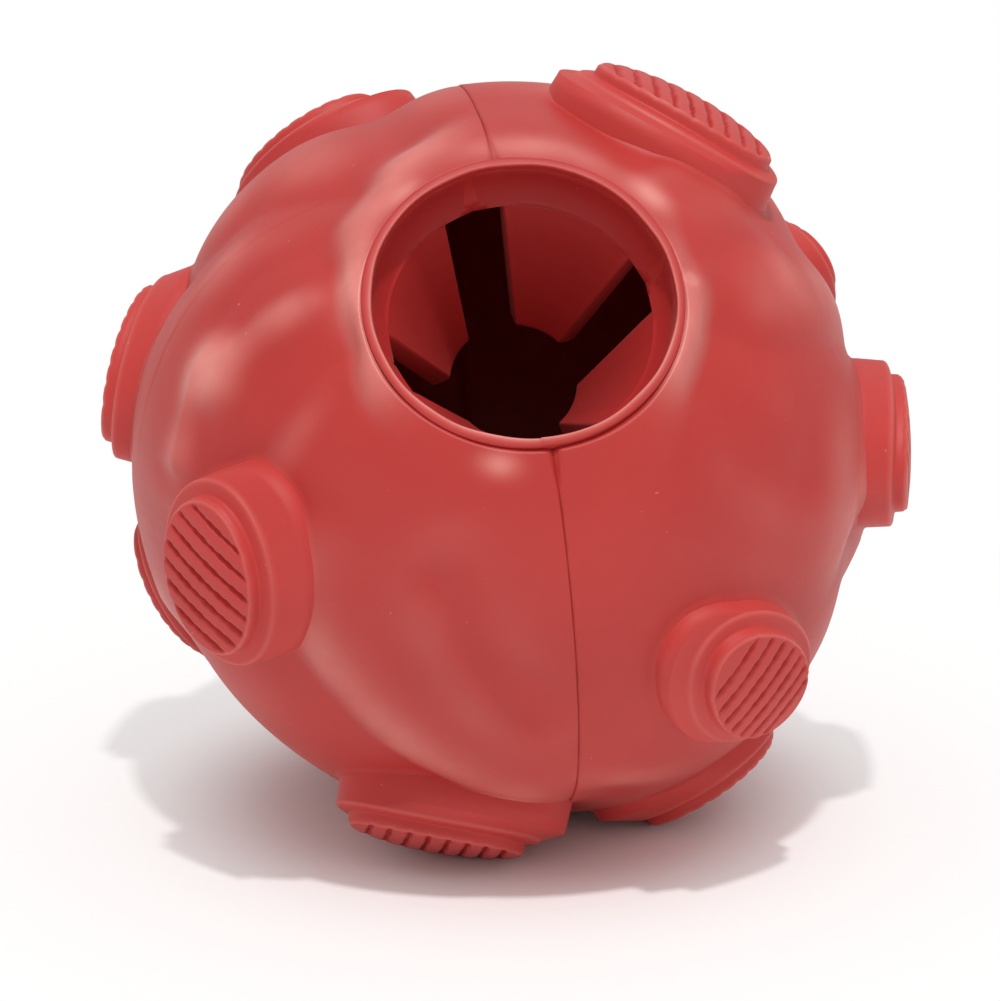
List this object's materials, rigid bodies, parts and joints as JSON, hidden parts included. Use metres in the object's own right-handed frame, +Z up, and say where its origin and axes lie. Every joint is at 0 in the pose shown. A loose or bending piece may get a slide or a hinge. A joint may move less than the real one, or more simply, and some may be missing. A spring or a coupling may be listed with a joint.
{
  "type": "treat dispensing ball",
  "caption": "Hollow rubber ball with a lobed skin, oval ribbed studs and a round mouth whose funnel of flaps lets dry treats fall out as the ball rolls.",
  "frame": {"origin": "centre of the ball's footprint on the surface that it rests on", "axes": "+Z up as the ball lies on its three feet, the mouth leans toward -Y, +X to the right of a person who looks into the mouth"},
  "size_m": [0.0826, 0.079, 0.0776],
  "materials": {
    "shell_rubber": "satin",
    "mouth_rubber": "satin",
    "flap_rubber": "satin",
    "stud_rubber": "satin"
  },
  "bodies": {
    "ball": {"left_shell": "shell_rubber", "right_shell": "shell_rubber", "mouth_sleeve": "mouth_rubber", "stud_top_right": "stud_rubber", "stud_top_left": "stud_rubber", "stud_left_upper": "stud_rubber", "stud_front_left": "stud_rubber", "stud_front_right": "stud_rubber", "stud_right": "stud_rubber", "stud_left_lower": "stud_rubber", "stud_back_top": "stud_rubber", "stud_back_right": "stud_rubber", "stud_back_low": "stud_rubber", "stud_back_left": "stud_rubber", "stud_under_right": "stud_rubber", "foot_front": "stud_rubber", "foot_right": "stud_rubber", "foot_back": "stud_rubber"},
    "flap_front_right": {"flap_front_right": "flap_rubber"},
    "flap_back_right": {"flap_back_right": "flap_rubber"},
    "flap_back_left": {"flap_back_left": "flap_rubber"},
    "flap_front_left": {"flap_front_left": "flap_rubber"}
  },
  "joints": [
    {"name": "flap_front_right_bend", "type": "hinge", "parent": "ball", "child": "flap_front_right", "pos_m": [0.01158, -0.02854, 0.05091], "axis": [-0.4368, -0.5414, -0.7184], "range_deg": [-15, 40], "stiffness_Nm_per_rad": 0.05},
    {"name": "flap_back_right_bend", "type": "hinge", "parent": "ball", "child": "flap_back_right", "pos_m": [0.00561, -0.01817, 0.06468], "axis": [0.8996, -0.2629, -0.3488], "range_deg": [-15, 40], "stiffness_Nm_per_rad": 0.05},
    {"name": "flap_back_left_bend", "type": "hinge", "parent": "ball", "child": "flap_back_left", "pos_m": [-0.01163, -0.02176, 0.05991], "axis": [0.4368, 0.5414, 0.7184], "range_deg": [-15, 40], "stiffness_Nm_per_rad": 0.05},
    {"name": "flap_front_left_bend", "type": "hinge", "parent": "ball", "child": "flap_front_left", "pos_m": [-0.00566, -0.03213, 0.04614], "axis": [-0.8996, 0.2629, 0.3488], "range_deg": [-15, 40], "stiffness_Nm_per_rad": 0.05}
  ]
}
